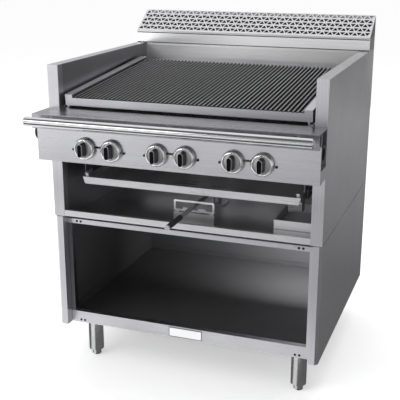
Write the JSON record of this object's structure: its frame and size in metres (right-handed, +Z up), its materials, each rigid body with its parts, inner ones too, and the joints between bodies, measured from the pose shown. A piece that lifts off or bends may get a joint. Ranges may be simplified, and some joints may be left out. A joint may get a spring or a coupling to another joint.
{
  "type": "gas charbroiler on a storage base",
  "caption": "Stainless gas charbroiler with a tilting cast grate, lever-set height, control knobs, slide-out drip tray and grease box, vented flue cap, open storage base and levelling legs.",
  "frame": {"origin": "on the floor, under the centre of the bounding box", "axes": "+X to the cook's right, +Y to the back of the unit, +Z up"},
  "size_m": [0.878, 0.9331, 1.114],
  "materials": {
    "stainless_sheet": "brushed",
    "rail_tube": "polished",
    "plate_alloy": "satin",
    "leg_steel": "satin",
    "inner_steel": "mill",
    "burner_iron": "cast",
    "radiant_steel": "heat-darkened",
    "pipe_steel": "satin black",
    "valve_brass": "machined",
    "pilot_alloy": "drawn tube",
    "screw_steel": "plated",
    "rack_steel": "satin",
    "grate_iron": "seasoned casting",
    "lever_steel": "plated",
    "grip_plastic": "knurled",
    "knob_body": "black with a bright skirt"
  },
  "bodies": {
    "cabinet": {"base_side_left": "stainless_sheet", "base_side_right": "stainless_sheet", "base_back": "stainless_sheet", "base_floor": "stainless_sheet", "base_bottom_rail": "stainless_sheet", "base_top_rail": "stainless_sheet", "base_stiles": "stainless_sheet", "side_shell_left": "stainless_sheet", "side_shell_right": "stainless_sheet", "side_liner_left": "stainless_sheet", "side_liner_right": "stainless_sheet", "back_panel": "stainless_sheet", "flue_duct_cover": "stainless_sheet", "splash_back": "stainless_sheet", "flue_riser": "stainless_sheet", "flue_cap": "stainless_sheet", "cavity_floor": "stainless_sheet", "firebox_front": "stainless_sheet", "control_panel": "stainless_sheet", "control_box_ends": "stainless_sheet", "front_shelf": "stainless_sheet", "front_rail": "rail_tube", "rail_brackets": "rail_tube", "tray_runners": "stainless_sheet", "grease_box_shelf": "stainless_sheet", "nameplate": "plate_alloy", "leg_sockets": "leg_steel", "leg_tubes": "leg_steel", "burner_rail": "inner_steel", "radiant_rails": "inner_steel", "burners": "burner_iron", "radiants": "radiant_steel", "manifold_pipe": "pipe_steel", "manifold_cap": "pipe_steel", "manifold_coupling": "pipe_steel", "gas_valves": "valve_brass", "pilot_tubes": "pilot_alloy", "panel_screws": "screw_steel", "rack_bearings": "inner_steel", "lever_pivot_post": "inner_steel", "lever_gate": "stainless_sheet"},
    "rack": {"rack_frame": "rack_steel", "grates": "grate_iron", "lift_leg": "inner_steel"},
    "rack_roller": {"lift_roller": "inner_steel"},
    "rack_lever": {"lever_rod": "lever_steel", "lever_grip": "grip_plastic", "lift_cam": "inner_steel"},
    "tray": {"drip_tray": "stainless_sheet"},
    "grease_drawer": {"grease_box": "stainless_sheet"},
    "knob_1_turn": {"knob_1": "knob_body"},
    "knob_2_turn": {"knob_2": "knob_body"},
    "knob_3_turn": {"knob_3": "knob_body"},
    "knob_4_turn": {"knob_4": "knob_body"},
    "knob_5_turn": {"knob_5": "knob_body"},
    "knob_6_turn": {"knob_6": "knob_body"},
    "foot_front_left_screw": {"foot_front_left": "leg_steel"},
    "foot_front_right_screw": {"foot_front_right": "leg_steel"},
    "foot_rear_left_screw": {"foot_rear_left": "leg_steel"},
    "foot_rear_right_screw": {"foot_rear_right": "leg_steel"}
  },
  "joints": [
    {"name": "rack_tilt", "type": "hinge", "parent": "cabinet", "child": "rack", "pos_m": [0, -0.276, 0.866], "axis": [1, 0, 0], "range_deg": [-4.4, 4.4]},
    {"name": "roller_spin", "type": "hinge", "parent": "rack", "child": "rack_roller", "pos_m": [0.004, 0.288, 0.612], "axis": [0, 1, 0], "continuous": true},
    {"name": "lever_swing", "type": "hinge", "parent": "cabinet", "child": "rack_lever", "pos_m": [0.004, 0.028, 0.569], "axis": [0, 0, 1], "range_deg": [-10.5, 10.5]},
    {"name": "tray_slide", "type": "slide", "parent": "cabinet", "child": "tray", "axis": [0, -1, 0], "range_m": [0, 0.44]},
    {"name": "grease_slide", "type": "slide", "parent": "cabinet", "child": "grease_drawer", "axis": [0, -1, 0], "range_m": [0, 0.17]},
    {"name": "knob_1_hinge", "type": "hinge", "parent": "cabinet", "child": "knob_1_turn", "pos_m": [-0.272, -0.378, 0.771], "axis": [0, -1, 0], "range_deg": [0, 90]},
    {"name": "knob_2_hinge", "type": "hinge", "parent": "cabinet", "child": "knob_2_turn", "pos_m": [-0.186, -0.378, 0.771], "axis": [0, -1, 0], "range_deg": [0, 90]},
    {"name": "knob_3_hinge", "type": "hinge", "parent": "cabinet", "child": "knob_3_turn", "pos_m": [-0.043, -0.378, 0.771], "axis": [0, -1, 0], "range_deg": [0, 90]},
    {"name": "knob_4_hinge", "type": "hinge", "parent": "cabinet", "child": "knob_4_turn", "pos_m": [0.043, -0.378, 0.771], "axis": [0, -1, 0], "range_deg": [0, 90]},
    {"name": "knob_5_hinge", "type": "hinge", "parent": "cabinet", "child": "knob_5_turn", "pos_m": [0.186, -0.378, 0.771], "axis": [0, -1, 0], "range_deg": [0, 90]},
    {"name": "knob_6_hinge", "type": "hinge", "parent": "cabinet", "child": "knob_6_turn", "pos_m": [0.272, -0.378, 0.771], "axis": [0, -1, 0], "range_deg": [0, 90]},
    {"name": "foot_front_left_level", "type": "slide", "parent": "cabinet", "child": "foot_front_left_screw", "axis": [0, 0, -1], "range_m": [0, 0.02]},
    {"name": "foot_front_right_level", "type": "slide", "parent": "cabinet", "child": "foot_front_right_screw", "axis": [0, 0, -1], "range_m": [0, 0.02]},
    {"name": "foot_rear_left_level", "type": "slide", "parent": "cabinet", "child": "foot_rear_left_screw", "axis": [0, 0, -1], "range_m": [0, 0.02]},
    {"name": "foot_rear_right_level", "type": "slide", "parent": "cabinet", "child": "foot_rear_right_screw", "axis": [0, 0, -1], "range_m": [0, 0.02]}
  ],
  "couplings": [
    {"joint": "lever_swing", "follows": "rack_tilt", "ratio": -2.35}
  ]
}
